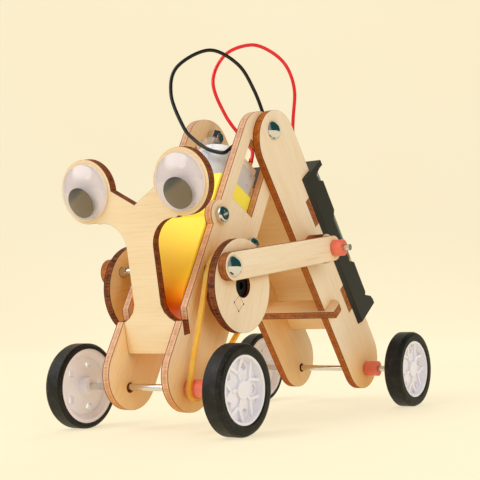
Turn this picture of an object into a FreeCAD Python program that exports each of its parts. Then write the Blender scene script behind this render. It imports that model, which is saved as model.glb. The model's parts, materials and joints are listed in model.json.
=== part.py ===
"""Battery-powered plywood crawling robot: two laser-cut leg pairs hinged at the top,
a geared motor between the front legs, crank disks and rods that swing the rear legs.

Frame, in millimetres: origin on the floor, on the mid-plane, under the front axle.
The face looks along -Y, +X is the robot's left side, +Z is up.
"""
import FreeCAD, Part
import math
import os

# ---------------------------------------------------------------- driving sizes
PLY = 2.5                    # plywood thickness
GAP = 0.1                    # clearance between plates that slide on each other
MOTOR_THICK = 18.8           # gearbox thickness, sets the distance between the front legs
MOTOR_WIDE = 22.5            # gearbox width
LEG_R = 10.4                 # half the width of every leg plate
WHEEL_R = 12.5               # tyre radius
WHEEL_WIDE = 5.8
AXLE_R = 1.0                 # steel axle radius
AXLE_HOLE_R = 1.5            # laser-cut hole that an axle turns in
SCREW_R = 1.5                # M3 screws
SCREW_HOLE_R = 1.55
HEAD_R = 3.05                # domed screw head
HEAD_HIGH = 2.15
PAN_R = 2.5                  # flat-sided screw head with a cross recess
PAN_HIGH = 1.9
PAN_ROUND = 0.9
CROSS_HALF = 1.35            # half the length of the recess's arms
CROSS_ARM = 0.35             # half their width
CROSS_DEEP = 0.9
NUT_R = 2.9                  # nut, across the corners
NUT_HIGH = 2.4
SCREW_TAIL = 1.2             # screw end that stands out of its nut
COLLAR_R = 2.55              # soft plastic tube collars
TIGHT = 0.02                 # gap left between pieces that touch

WHEELBASE = 97.0
FRONT_TILT = 29.0            # front legs lean back from vertical
REAR_TILT = 35.9             # rear legs lean forward from vertical
FACE_TILT = 9.85             # face plate leans forward from vertical

SHAFT_Y, SHAFT_Z = 15.05, 40.67      # motor output shaft
SHAFT_TO_HINGE = 55.5
CRANK_RADIUS = 9.4
CRANK_ANGLE = 146.5          # crank pin, degrees from +Y towards +Z
ROD_AXLE_DOWN = 41.6         # rod axle, along the rear leg from the hinge
ROD_AXLE_ACROSS = -4.6       # and across it, towards the front
ROD_SLACK = 1.55             # radial slack of the rod's rear hole on its axle

# ---------------------------------------------------------------- places across the robot
PLATE_IN = MOTOR_THICK / 2.0
PLATE_OUT = PLATE_IN + PLY
REAR_IN = PLATE_OUT + GAP
REAR_OUT = REAR_IN + PLY
SHAFT_END = 18.4
DISK_OUT = 20.46
DISK_IN = DISK_OUT - PLY
PULLEY_IN = DISK_IN - PLY
ROD_IN = DISK_OUT + GAP
ROD_OUT = ROD_IN + PLY
FRONT_WHEEL_IN = 25.5
REAR_WHEEL_IN = 27.7

# ---------------------------------------------------------------- frames
X_DIR = FreeCAD.Vector(1, 0, 0)
ORIGIN = FreeCAD.Vector(0, 0, 0)


def tilted(across, along, origin):
    """Placement that sends local x to across, local y to along, local z to their normal."""
    normal = across.cross(along)
    return FreeCAD.Placement(FreeCAD.Matrix(
        across.x, along.x, normal.x, origin.x,
        across.y, along.y, normal.y, origin.y,
        across.z, along.z, normal.z, origin.z,
        0, 0, 0, 1))


def in_side_plane(degrees):
    """Unit vector in the side plane, degrees from +Y towards +Z."""
    angle = math.radians(degrees)
    return FreeCAD.Vector(0, math.cos(angle), math.sin(angle))


SHAFT = FreeCAD.Vector(0, SHAFT_Y, SHAFT_Z)
FRONT_UP = in_side_plane(90 - FRONT_TILT)
FRONT_BACK = in_side_plane(-FRONT_TILT)
FRONT = tilted(FRONT_BACK, FRONT_UP, SHAFT)          # x across the leg, y up the leg, z to the left

HINGE = SHAFT + FRONT_UP * SHAFT_TO_HINGE
REAR_UP = in_side_plane(90 + REAR_TILT)
REAR_BACK = in_side_plane(REAR_TILT)
REAR = tilted(REAR_BACK, REAR_UP, HINGE)             # x across the leg, y up the leg, z to the left

FACE_UP = in_side_plane(90 + FACE_TILT)
FACE = tilted(X_DIR, FACE_UP, FreeCAD.Vector(0, -1.87, 30.0))   # z points forward out of the face

FRONT_AXLE = FreeCAD.Vector(0, 0, WHEEL_R)
REAR_AXLE = FreeCAD.Vector(0, WHEELBASE, WHEEL_R)
CRANK_PIN = SHAFT + in_side_plane(CRANK_ANGLE) * CRANK_RADIUS
ROD_AXLE = HINGE + REAR_UP * -ROD_AXLE_DOWN + REAR_BACK * ROD_AXLE_ACROSS


# ---------------------------------------------------------------- building blocks
def block(x0, x1, y0, y1, z0, z1):
    """Axis-aligned box between two corners of the local frame."""
    return Part.makeBox(x1 - x0, y1 - y0, z1 - z0, FreeCAD.Vector(x0, y0, z0))


def post(x, y, radius, z0, z1):
    """Cylinder along local z."""
    return Part.makeCylinder(radius, z1 - z0, FreeCAD.Vector(x, y, z0))


def slab(points, z0, z1):
    """Straight-sided outline, extruded along local z."""
    corners = [FreeCAD.Vector(x, y, z0) for x, y in points]
    wire = Part.makePolygon(corners + corners[:1])
    return Part.Face(wire).extrude(FreeCAD.Vector(0, 0, z1 - z0))


def stadium(y_low, y_high, radius, z0, z1):
    """Long plate with round ends, along local y."""
    middle = block(-radius, radius, y_low, y_high, z0, z1)
    return middle.fuse([post(0, y_low, radius, z0, z1), post(0, y_high, radius, z0, z1)]).removeSplitter()


def cross_rod(centre, radius, x0, x1):
    """Cylinder along the robot's left-right axis."""
    return Part.makeCylinder(radius, x1 - x0, FreeCAD.Vector(x0, centre.y, centre.z), X_DIR)


def cross_tube(centre, outer, inner, x0, x1):
    return cross_rod(centre, outer, x0, x1).cut(cross_rod(centre, inner, x0, x1))


def placed(shape, placement):
    shape.transformShape(placement.toMatrix())
    return shape


def other_side(shape):
    return shape.mirror(ORIGIN, X_DIR)


def both_sides(shape):
    return Part.makeCompound([shape, other_side(shape)])


def turned(profile, centre, x_sign=1):
    """Solid of revolution about the left-right axis; profile is (x, radius) points."""
    points = [FreeCAD.Vector(x_sign * x, centre.y, centre.z + r) for x, r in profile]
    face = Part.Face(Part.makePolygon(points + points[:1]))
    return face.revolve(FreeCAD.Vector(0, centre.y, centre.z), X_DIR, 360)


def dome_head(centre, x_base):
    """Smooth domed screw head whose flat side is at x_base, facing out to the left."""
    ball_r = (HEAD_R ** 2 + HEAD_HIGH ** 2) / (2 * HEAD_HIGH)
    ball = Part.makeSphere(ball_r, FreeCAD.Vector(x_base + HEAD_HIGH - ball_r, centre.y, centre.z))
    return ball.common(cross_rod(centre, HEAD_R, x_base, x_base + HEAD_HIGH))


def straight_bar(start, end, half, x0, x1):
    """Straight bar between two points of the side plane, half is half its width."""
    along = end - start
    across = along.cross(X_DIR) * (half / along.Length)
    corners = [start + across, end + across, end - across, start - across]
    outline = Part.makePolygon([FreeCAD.Vector(x0, p.y, p.z) for p in corners + corners[:1]])
    return Part.Face(outline).extrude(X_DIR * (x1 - x0))


def pan_head(centre, x_base):
    """Screw head with straight sides, a rounded rim and a cross recess, facing out to the left."""
    top = x_base + PAN_HIGH
    head = cross_rod(centre, PAN_R, x_base, top)
    rim = [e for e in head.Edges if e.BoundBox.XMin > top - 0.1]
    head = head.makeFillet(PAN_ROUND, rim)
    for degrees in (20, 110):
        reach = in_side_plane(degrees) * CROSS_HALF
        head = head.cut(straight_bar(centre - reach, centre + reach, CROSS_ARM, top - CROSS_DEEP, top + 0.1))
    return head


def hex_nut(centre, x0, x1, hole_r=SCREW_R):
    corners = [centre + in_side_plane(60 * k) * NUT_R for k in range(7)]
    wire = Part.makePolygon([FreeCAD.Vector(x0, c.y, c.z) for c in corners])
    nut = Part.Face(wire).extrude(FreeCAD.Vector(x1 - x0, 0, 0))
    return nut.cut(cross_rod(centre, hole_r, x0, x1))


def place_on_front(across, up):
    return SHAFT + FRONT_BACK * across + FRONT_UP * up


# ---------------------------------------------------------------- front legs
MOTOR_SCREW_UP = 19.06
MOTOR_SCREW_ACROSS = 8.75
FRONT_LOW, FRONT_HIGH = -28.0, 50.4      # centres of the leg's round ends
EAR_R = 4.4                              # round ear about the front motor screw
WINDOW_LOW, WINDOW_HIGH = 26.8, 48.3     # opening that shows the motor
WINDOW_FRONT, WINDOW_BACK = -6.0, 5.2
TAB_LOW, TAB_HIGH = -2.8, 1.1            # the face plate's tabs, in the face's own frame
SLOT_SLACK = 0.06
SHAFT_BOSS_R = 4.2                       # hole that the gearbox's round boss would sit in
SPARE_HOLE = (-7.5, 1.6, 1.0)            # spare laser-cut hole: across, up, radius


def face_slot():
    """Channel that the face plate's tab drops into, open upwards."""
    slot = block(0, 40, TAB_LOW - SLOT_SLACK, 12, -PLY - SLOT_SLACK, SLOT_SLACK)
    return placed(slot, FACE)


def front_leg():
    """Left front leg plate."""
    z0, z1 = PLATE_IN, PLATE_OUT
    plate = stadium(FRONT_LOW, FRONT_HIGH, LEG_R, z0, z1)
    plate = plate.fuse(post(-MOTOR_SCREW_ACROSS, MOTOR_SCREW_UP, EAR_R, z0, z1)).removeSplitter()
    window = block(WINDOW_FRONT, WINDOW_BACK, WINDOW_LOW, WINDOW_HIGH, z0, z1)
    holes = [window, post(0, 0, SHAFT_BOSS_R, z0, z1), post(0, SHAFT_TO_HINGE, SCREW_HOLE_R, z0, z1)]
    for side in (-1, 1):
        holes.append(post(side * MOTOR_SCREW_ACROSS, MOTOR_SCREW_UP, SCREW_HOLE_R, z0, z1))
    across, up, radius = SPARE_HOLE
    holes.append(post(across, up, radius, z0, z1))
    plate = placed(plate.cut(holes), FRONT)
    axle_hole = FRONT_AXLE - FreeCAD.Vector(0, 0, 0.2)
    return plate.cut([face_slot(), cross_rod(axle_hole, AXLE_HOLE_R, z0, z1)])


# ---------------------------------------------------------------- face and eyes
NECK_HALF = 4.85                         # half the width of the neck
NOTCH_R = 7.9                            # round notch between the neck and each arm
EYE_ACROSS, EYE_UP = 17.4, 39.25
EYE_PAD_R = 9.35
EYE_R = 8.2
EYE_BASE = 0.62                          # the dome stands on the white back, this far in front of the plate
EYE_HIGH = 3.8
EYE_WALL = 0.45
PUPIL_R = 4.5
PUPIL_THICK = 0.5
PUPIL_OFFSET = 2.95                      # pupil's centre from the eye's centre
PUPIL_OUT = 2.25                         # and in front of the plate
PUPIL_TILT = 14.5                        # the pupil leans forward against the dome
PUPIL_LEAN = {1: 4.0, -1: -10.0}         # where it has come to rest, degrees from straight down


def face_plate():
    """One plate: base between the legs, a neck, and two arms that carry the eye pads."""
    z0, z1 = -PLY, 0
    base_half = PLATE_IN - 0.05
    base = block(-base_half, base_half, -8.1, TAB_HIGH, z0, z1)
    tabs = block(-PLATE_OUT, PLATE_OUT, TAB_LOW, TAB_HIGH, z0, z1)
    neck = block(-NECK_HALF, NECK_HALF, 0, 30, z0, z1)
    parts = [tabs, neck]
    cuts = []
    for side in (-1, 1):
        parts.append(slab([(side * NECK_HALF, 0), (side * 9.0, 0), (side * 9.0, TAB_HIGH),
                           (side * 7.3, 2.1), (side * 5.7, 3.7), (side * NECK_HALF, 5.9)], z0, z1))
        arm = [(0, 22), (side * NECK_HALF, 22), (side * 9.5, 27), (side * 20, 33),
               (side * EYE_ACROSS, EYE_UP), (side * 12, 41.0), (0, 34.1)]
        parts.append(slab(arm, z0, z1))
        parts.append(post(side * EYE_ACROSS, EYE_UP, EYE_PAD_R, z0, z1))
        cuts.append(post(side * (NECK_HALF + NOTCH_R), 21.8, NOTCH_R, z0, z1))
    plate = base.fuse(parts).cut(cuts).removeSplitter()
    return placed(plate, FACE)


def in_eye(shape, side):
    """Moves a shape made about the eye's own axis to its place on the face."""
    shape.translate(FreeCAD.Vector(side * EYE_ACROSS, EYE_UP, 0))
    return placed(shape, FACE)


def eye_back(side):
    return in_eye(post(0, 0, EYE_R, TIGHT, EYE_BASE - TIGHT), side)


def bowl(radius, height):
    """Low solid dome on the eye's base: short straight rim, rounded shoulder, spherical top."""
    rim = height / 3.0
    rise = height - rim
    ball_r = (radius ** 2 + rise ** 2) / (2 * rise)
    ball = Part.makeSphere(ball_r, FreeCAD.Vector(0, 0, EYE_BASE + height - ball_r))
    solid = ball.common(post(0, 0, radius, EYE_BASE, EYE_BASE + height))
    shoulder = [e for e in solid.Edges if e.Length > 6 * radius and e.CenterOfMass.z > EYE_BASE + 0.1]
    return solid.makeFillet(rim, shoulder)


def eye_dome(side):
    """Clear hollow dome."""
    return in_eye(bowl(EYE_R, EYE_HIGH).cut(bowl(EYE_R - EYE_WALL, EYE_HIGH - EYE_WALL)), side)


def pupil(side):
    """Loose disc that has rolled to the bottom of the eye and leans against the dome."""
    disc = post(0, 0, PUPIL_R, -PUPIL_THICK / 2.0, PUPIL_THICK / 2.0)
    disc.rotate(ORIGIN, X_DIR, PUPIL_TILT)
    disc.translate(FreeCAD.Vector(0, -PUPIL_OFFSET, PUPIL_OUT))
    disc.rotate(ORIGIN, FreeCAD.Vector(0, 0, 1), PUPIL_LEAN[side])
    return in_eye(disc, side)


# ---------------------------------------------------------------- geared motor
BOX_LOW, BOX_HIGH = -11.2, 32.5         # ends of the yellow gearbox, up the leg
BOX_WALL = 1.5
CAN_R = 10.0                            # motor can: round, with two flat sides
CAN_FLAT = 7.6
CAN_LOW, CAN_HIGH = 22.0, 43.0
CAN_WALL = 0.9
CAN_BOSS_R = 3.0
DIMPLES = ((4.1, 41.3), (3.4, 37.6))     # pressed marks on the flat sides: across, up
DIMPLE_R, DIMPLE_DEEP = 0.8, 0.3
CAP_HIGH = 45.3
TERMINAL_ACROSS, TERMINAL_X = 3.5, 5.9
TERMINAL_HALF, TERMINAL_THICK = 1.1, 0.5
ROTOR_R = 0.95                           # motor shaft
ROTOR_HOLE_R = 1.05
BOSS_R = 3.0
SPINDLE_R = 1.5
BEARING_R = 2.75
OUTPUT_R = 2.7
OUTPUT_FLAT = 1.85           # half the distance between the flats on the shaft's ends
CRANK_SCREW_R, CRANK_SCREW_FROM = 0.88, 13.0
CRANK_HEAD_R, CRANK_HEAD_HIGH = 3.2, 1.3
DRIVE_R, DRIVE_DEEP = 1.1, 0.6           # round recess in that screw's head
IDLER_UP = 10.0              # second gear axis, up the leg from the output shaft
BOX_CORNER_R = 5.0
CHEEK_HIGH, CHEEK_HALF = 34.0, 6.0      # shell cheeks that hold the motor can
LEDGE_LOW, LEDGE_HIGH = 20.0, 21.6      # ledges that the clear strap hooks under
LEDGE_OUT, LEDGE_HALF = 0.7, 3.0
ARMATURE_R = 5.6
GEAR_PIN_HALF = 8.6


def gearbox_half(side):
    """One moulded half of the yellow gearbox, split on the mid-plane."""
    half = MOTOR_THICK / 2.0 - 0.02
    wide = MOTOR_WIDE / 2.0
    outer = block(-wide, wide, BOX_LOW, BOX_HIGH, 0, half)
    corners = [e for e in outer.Edges if abs(e.tangentAt(e.FirstParameter).z) > 0.9]
    low_corners = [e for e in corners if e.CenterOfMass.y < 0]
    outer = outer.makeFillet(BOX_CORNER_R, low_corners)
    cavity = block(-wide + BOX_WALL, wide - BOX_WALL, BOX_LOW + BOX_WALL, CAN_LOW - BOX_WALL,
                   0, half - BOX_WALL)
    cavity_low = [e for e in cavity.Edges
                  if abs(e.tangentAt(e.FirstParameter).z) > 0.9 and e.CenterOfMass.y < 0]
    shell = outer.cut(cavity.makeFillet(BOX_CORNER_R - BOX_WALL, cavity_low))
    extras = [block(-CHEEK_HALF, CHEEK_HALF, BOX_HIGH - 0.5, CHEEK_HIGH, CAN_FLAT + 0.1, half)]
    holes = [post(0, 0, BEARING_R, 0, half)]
    for across in (-MOTOR_SCREW_ACROSS, MOTOR_SCREW_ACROSS):
        extras.append(post(across, MOTOR_SCREW_UP, BOSS_R, 0, half))
        holes.append(post(across, MOTOR_SCREW_UP, SCREW_HOLE_R, 0, half))
    holes.append(post(0, IDLER_UP, AXLE_R + TIGHT, 0, half - 0.6))
    holes.append(along_leg(CAN_BOSS_R + 0.3, CAN_LOW - 4, CAN_LOW + 2))
    holes.append(flattened(CAN_R + 0.08, CAN_FLAT + 0.05, CAN_LOW, BOX_HIGH))
    ledge = block(-wide - LEDGE_OUT, wide + LEDGE_OUT, LEDGE_LOW, LEDGE_HIGH, 0, LEDGE_HALF)
    ledge = ledge.cut(block(-wide + 1, wide - 1, LEDGE_LOW, LEDGE_HIGH, 0, LEDGE_HALF))
    shell = shell.fuse(extras + [ledge]).cut(holes).removeSplitter()
    shell = placed(shell, FRONT)
    if side < 0:
        shell = other_side(shell)
    return shell


def along_leg(radius, y0, y1):
    """Cylinder on the motor's own axis, up the leg."""
    return Part.makeCylinder(radius, y1 - y0, FreeCAD.Vector(0, y0, 0), FreeCAD.Vector(0, 1, 0))


def flattened(radius, flat, y0, y1):
    return along_leg(radius, y0, y1).common(block(-radius, radius, y0, y1, -flat, flat))


def motor_can():
    """Pressed steel can, flattened on two sides, with its bearing boss and small pressed dimples."""
    can = flattened(CAN_R, CAN_FLAT, CAN_LOW + TIGHT, CAN_HIGH)
    can = can.cut(flattened(CAN_R - CAN_WALL, CAN_FLAT - CAN_WALL, CAN_LOW + 1.0, CAN_HIGH))
    boss = along_leg(CAN_BOSS_R, CAN_LOW - 1.4, CAN_LOW + 1.0)
    dimples = []
    for across, up in DIMPLES:
        for z in (CAN_FLAT - DIMPLE_DEEP, -CAN_FLAT):
            dimples.append(post(across, up, DIMPLE_R, z, z + DIMPLE_DEEP))
    can = can.fuse(boss).cut(dimples + [along_leg(ROTOR_HOLE_R, CAN_LOW - 2, CAN_LOW + 2)])
    return placed(can.removeSplitter(), FRONT)


def motor_end_cap():
    """White cap that closes the can, with a bearing boss and two slots for the terminals."""
    cap = flattened(CAN_R - 0.4, CAN_FLAT - 0.3, CAN_HIGH + TIGHT, CAP_HIGH)
    boss = along_leg(2.6, CAN_HIGH - 1.0, CAP_HIGH + 0.6)
    holes = [along_leg(ROTOR_HOLE_R, CAN_HIGH - 2, CAP_HIGH - 0.5)]
    half = TERMINAL_HALF + 0.05
    low, high = TERMINAL_X - 0.05, TERMINAL_X + TERMINAL_THICK + 0.05
    for x in (-TERMINAL_ACROSS, TERMINAL_ACROSS):
        holes.append(block(x - half, x + half, CAN_HIGH, CAP_HIGH, low, high))
    return placed(cap.fuse(boss).cut(holes), FRONT)


def motor_terminals():
    """Two thin brass tabs that the wires are soldered to."""
    tabs = []
    for x in (-TERMINAL_ACROSS, TERMINAL_ACROSS):
        tab = block(x - TERMINAL_HALF, x + TERMINAL_HALF, CAN_HIGH + 0.1, CAP_HIGH + 2.4,
                    TERMINAL_X, TERMINAL_X + TERMINAL_THICK)
        tabs.append(tab.cut(post(x, CAP_HIGH + 1.5, 0.45, TERMINAL_X - 1, TERMINAL_X + 1)))
    return placed(Part.makeCompound(tabs), FRONT)


def motor_strap():
    """Clear strap that runs over the motor and hooks under a ledge on each side of the gearbox."""
    inside = MOTOR_WIDE / 2.0 + 0.05
    outside = inside + 0.6
    top = CAP_HIGH + 0.75
    strap = block(-outside, outside, LEDGE_HIGH + 0.1, top + 0.6, -2.9, 2.9)
    strap = strap.cut(block(-inside, inside, LEDGE_HIGH, top, -3, 3))
    edges = [e for e in strap.Edges if abs(e.tangentAt(e.FirstParameter).z) > 0.9
             and e.CenterOfMass.y > top + 0.5]
    return placed(strap.makeFillet(0.55, edges), FRONT)


GEAR_MODULE = 0.5
LAYER = 1.2                  # face width of every spur gear
LAYER_TOPS = (-3.5, -4.9, -6.3)
BIG_TEETH, SMALL_TEETH, CROWN_TEETH, PINION_TEETH = 28, 12, 30, 8


def gear(teeth, z0, z1, gap_up=False):
    """Spur gear with straight-flanked teeth; a tooth, or a gap, points up the leg."""
    pitch_r = GEAR_MODULE * teeth / 2.0
    root_r = pitch_r - 1.25 * GEAR_MODULE
    tip_r = pitch_r + 0.9 * GEAR_MODULE
    pitch = 2 * math.pi / teeth
    outline = []
    for k in range(teeth):
        middle = math.pi / 2 + pitch * (k + (0.5 if gap_up else 0))
        for radius, share in ((root_r, -0.32), (tip_r, -0.11), (tip_r, 0.11), (root_r, 0.32)):
            angle = middle + share * pitch
            outline.append((radius * math.cos(angle), radius * math.sin(angle)))
    return slab(outline, z0, z1)


def layer(k):
    """Lowest and highest place of spur layer k across the gearbox."""
    return LAYER_TOPS[k] - LAYER, LAYER_TOPS[k]


def raised(shape, up):
    shape.translate(FreeCAD.Vector(0, up, 0))
    return shape


def output_shaft():
    """Output gear moulded on the white shaft, with a double-flat end on each side."""
    low, high = layer(2)
    shaft = gear(BIG_TEETH, low, high, gap_up=True)
    shaft = shaft.fuse([post(0, 0, SPINDLE_R, high, 7.0), post(0, 0, OUTPUT_R - 0.05, 7.0, SHAFT_END),
                        post(0, 0, OUTPUT_R - 0.05, -SHAFT_END, low)])
    for z0, z1 in ((PLATE_IN, SHAFT_END), (-SHAFT_END, -PLATE_IN)):
        shaft = shaft.cut([block(-4, -OUTPUT_FLAT, -4, 4, z0, z1), block(OUTPUT_FLAT, 4, -4, 4, z0, z1)])
    for z0, z1 in ((CRANK_SCREW_FROM - 1, SHAFT_END), (-SHAFT_END, 1 - CRANK_SCREW_FROM)):
        shaft = shaft.cut(post(0, 0, CRANK_SCREW_R + TIGHT, z0, z1))
    return placed(shaft, FRONT)


def crown_gear():
    """First reduction: a crown wheel that the motor pinion drives, with a small spur gear behind."""
    face_z, root_z = -1.55, -2.6
    pitch_r = GEAR_MODULE * CROWN_TEETH / 2.0
    low, high = layer(0)
    body = gear(SMALL_TEETH, low, high).fuse(post(0, 0, pitch_r + 0.6, high, root_z))
    teeth = []
    for k in range(CROWN_TEETH):
        tooth = slab([(-0.42, pitch_r - 0.6), (0.42, pitch_r - 0.6), (0.42, pitch_r + 0.6),
                      (-0.42, pitch_r + 0.6)], root_z - 0.05, face_z - 0.35)
        tooth.rotate(ORIGIN, FreeCAD.Vector(0, 0, 1), 360.0 / CROWN_TEETH * (k + 0.5))
        teeth.append(tooth)
    body = body.fuse(teeth).cut(post(0, 0, AXLE_R + 0.06, low, face_z))
    return placed(raised(body, IDLER_UP), FRONT)


def compound_gear(big_layer, up, bore_r, gap_up):
    """Large and small spur gear in one moulding; the small one sits in the next layer."""
    low, high = layer(big_layer)
    small_low, small_high = layer(big_layer + 1)
    body = gear(BIG_TEETH, low, high, gap_up).fuse(gear(SMALL_TEETH, small_low, low, gap_up))
    return placed(raised(body.cut(post(0, 0, bore_r, small_low, high)), up), FRONT)


def gear_pin():
    return placed(post(0, IDLER_UP, AXLE_R, -GEAR_PIN_HALF, GEAR_PIN_HALF), FRONT)


def motor_rotor():
    """Armature, motor shaft and the small pinion on its end."""
    pinion = gear(PINION_TEETH, 0, 1.9)
    pinion.rotate(ORIGIN, X_DIR, -90)
    pinion.translate(FreeCAD.Vector(0, IDLER_UP + GEAR_MODULE * CROWN_TEETH / 2.0 - 0.95, 0))
    shaft = along_leg(ROTOR_R, IDLER_UP + 6.0, CAP_HIGH - 1.0)
    armature = along_leg(ARMATURE_R, CAN_LOW + 3.5, CAN_HIGH - 4.0)
    return placed(armature.fuse([shaft, pinion]), FRONT)


def motor_screws():
    """Two long screws through both front legs and the gearbox."""
    solids = []
    for side in (-1, 1):
        centre = place_on_front(side * MOTOR_SCREW_ACROSS, MOTOR_SCREW_UP)
        shank = cross_rod(centre, SCREW_R, -PLATE_OUT - NUT_HIGH - SCREW_TAIL, PLATE_OUT + 0.3)
        solids.append(shank.fuse(pan_head(centre, PLATE_OUT + TIGHT)).removeSplitter())
    return Part.makeCompound(solids)


def motor_nuts():
    centres = [place_on_front(side * MOTOR_SCREW_ACROSS, MOTOR_SCREW_UP) for side in (-1, 1)]
    outer = -PLATE_OUT - TIGHT
    return Part.makeCompound([hex_nut(c, outer - NUT_HIGH, outer) for c in centres])


# ---------------------------------------------------------------- crank
DISK_R = 13.5
PULLEY_R = 11.2
BELT_THICK, BELT_WIDE = 0.9, 1.4
SCREW_RECESS_R = 3.5         # round opening in each disk for the screw on the shaft's end
PIN_TAIL_R, PIN_TAIL_LONG = 1.25, 5.3


def crank_disk(side):
    """Plywood crank disk with a keyed hole for the shaft and a recess for its screw."""
    disk = post(0, 0, DISK_R, DISK_IN, DISK_OUT)
    screw_recess = post(0, 0, SCREW_RECESS_R, SHAFT_END + 0.05, DISK_OUT)
    shaft_hole = post(0, 0, OUTPUT_R, DISK_IN, DISK_OUT)
    pin = CRANK_PIN - SHAFT
    pin_hole = post(pin.dot(FRONT_BACK), pin.dot(FRONT_UP), SCREW_HOLE_R, DISK_IN, DISK_OUT)
    disk = placed(disk.cut([screw_recess, shaft_hole, pin_hole]), FRONT)
    return disk if side > 0 else other_side(disk)


def drive_pulley():
    """Plywood wheel behind the left crank disk; the belt rides on its rim."""
    wheel = cross_rod(SHAFT, PULLEY_R, PULLEY_IN, DISK_IN - 0.02)
    return wheel.cut([cross_rod(SHAFT, OUTPUT_R, PULLEY_IN, DISK_IN),
                      cross_rod(CRANK_PIN, SCREW_HOLE_R, PULLEY_IN, DISK_IN)])


def crank_screws():
    """Black screws that hold the disks on the shaft ends."""
    top = SHAFT_END + CRANK_HEAD_HIGH
    head = cross_rod(SHAFT, CRANK_HEAD_R, SHAFT_END + 0.06, top)
    recess = cross_rod(SHAFT, DRIVE_R, top - DRIVE_DEEP, top)
    shank = cross_rod(SHAFT, CRANK_SCREW_R, CRANK_SCREW_FROM, SHAFT_END + 0.2)
    return both_sides(head.cut(recess).fuse(shank).removeSplitter())


def crank_pins():
    """Domed screws that the rods turn on; the right one, with no pulley behind it, has a bare tail."""
    left = cross_rod(CRANK_PIN, SCREW_R, PULLEY_IN + 0.3, ROD_OUT + GAP + 0.3)
    right = cross_rod(CRANK_PIN, SCREW_R, DISK_IN - 2.2, ROD_OUT + GAP + 0.3)
    right = right.fuse(cross_rod(CRANK_PIN, PIN_TAIL_R, DISK_IN - PIN_TAIL_LONG, DISK_IN))
    head = dome_head(CRANK_PIN, ROD_OUT + GAP)
    return Part.makeCompound([left.fuse(head).removeSplitter(),
                              other_side(right.fuse(head).removeSplitter())])


def drive_rod(side):
    """Plywood rod from the crank pin to the rod axle; its rear hole is loose on the axle."""
    reach = ROD_AXLE - CRANK_PIN
    length = reach.Length
    rod = stadium(0, length, 4.0, ROD_IN, ROD_OUT)
    rod = rod.cut([post(0, 0, SCREW_HOLE_R + 0.03, ROD_IN, ROD_OUT),
                   post(0, length, AXLE_R + ROD_SLACK, ROD_IN, ROD_OUT)])
    along = reach * (1.0 / length)
    rod = placed(rod, tilted(along.cross(X_DIR), along, CRANK_PIN))
    return rod if side > 0 else other_side(rod)


# ---------------------------------------------------------------- belt
SLEEVE_R = 2.5
BELT_LOW_X = 14.5                     # middle of the belt at the front axle, near the sleeve's inner end
BELT_HIGH_X = 16.4                    # middle of the belt at the crank shaft, on the pulley's rim


def belt_outline(grow):
    """Closed path round the pulley rim and the axle sleeve, grow outside them."""
    big_r = PULLEY_R + grow
    small_r = SLEEVE_R + grow
    line = SHAFT - FRONT_AXLE
    heading = math.degrees(math.atan2(line.z, line.y))
    touch = math.degrees(math.acos((big_r - small_r) / line.Length))
    front, back = [heading + side * (180 - touch) for side in (1, -1)]
    corners = [(centre + in_side_plane(front) * r, centre + in_side_plane(back) * r)
               for centre, r in ((SHAFT, big_r), (FRONT_AXLE, small_r))]
    top = SHAFT + in_side_plane(heading) * big_r
    low = FRONT_AXLE - in_side_plane(heading) * small_r
    return Part.Face(Part.Wire([
        Part.Arc(corners[0][1], top, corners[0][0]).toShape(),
        Part.makeLine(corners[0][0], corners[1][0]),
        Part.Arc(corners[1][0], low, corners[1][1]).toShape(),
        Part.makeLine(corners[1][1], corners[0][1])]))


def drive_belt():
    """Rubber band from the crank pulley to the front axle; it leans, as its two ends are not level."""
    width = X_DIR * BELT_WIDE
    belt = belt_outline(BELT_THICK + 0.1).extrude(width).cut(belt_outline(0.1).extrude(width))
    belt.translate(X_DIR * (BELT_HIGH_X - BELT_WIDE / 2.0))
    line = SHAFT - FRONT_AXLE
    lean = line * ((BELT_HIGH_X - BELT_LOW_X) / line.Length ** 2)
    shift = -lean.dot(SHAFT)
    return belt.transformGeometry(FreeCAD.Matrix(
        1, lean.y, lean.z, shift,
        0, 1, 0, 0,
        0, 0, 1, 0,
        0, 0, 0, 1))


# ---------------------------------------------------------------- hinge
def hinge_pins():
    """Domed screws that join each rear leg to its front leg."""
    shank = cross_rod(HINGE, SCREW_R, PLATE_IN - 3.6, REAR_OUT + GAP + 0.3)
    return both_sides(shank.fuse(dome_head(HINGE, REAR_OUT + GAP)).removeSplitter())


def hinge_nuts():
    return both_sides(hex_nut(HINGE, PLATE_IN - TIGHT - NUT_HIGH, PLATE_IN - TIGHT))


# ---------------------------------------------------------------- rear legs
REAR_TOP, REAR_LOW = -4.5, -90.1         # centres of the leg's round ends, up the leg
TRAY_TOP, TRAY_LOW = -20.7, -79.0        # ends of the battery holder
PANEL_OUT = 4.7                          # outer face of the rear panel, across the leg
PANEL_IN = PANEL_OUT - PLY
PANEL_TABS = ((-27.6, -37.3), (-62.6, -72.2))
SHELF_TOP = -62.0
SHELF_FRONT, SHELF_BACK = -11.2, -4.2
SHELF_HALF = 18.3
SHELF_CORNER_R = 3.6


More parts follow.
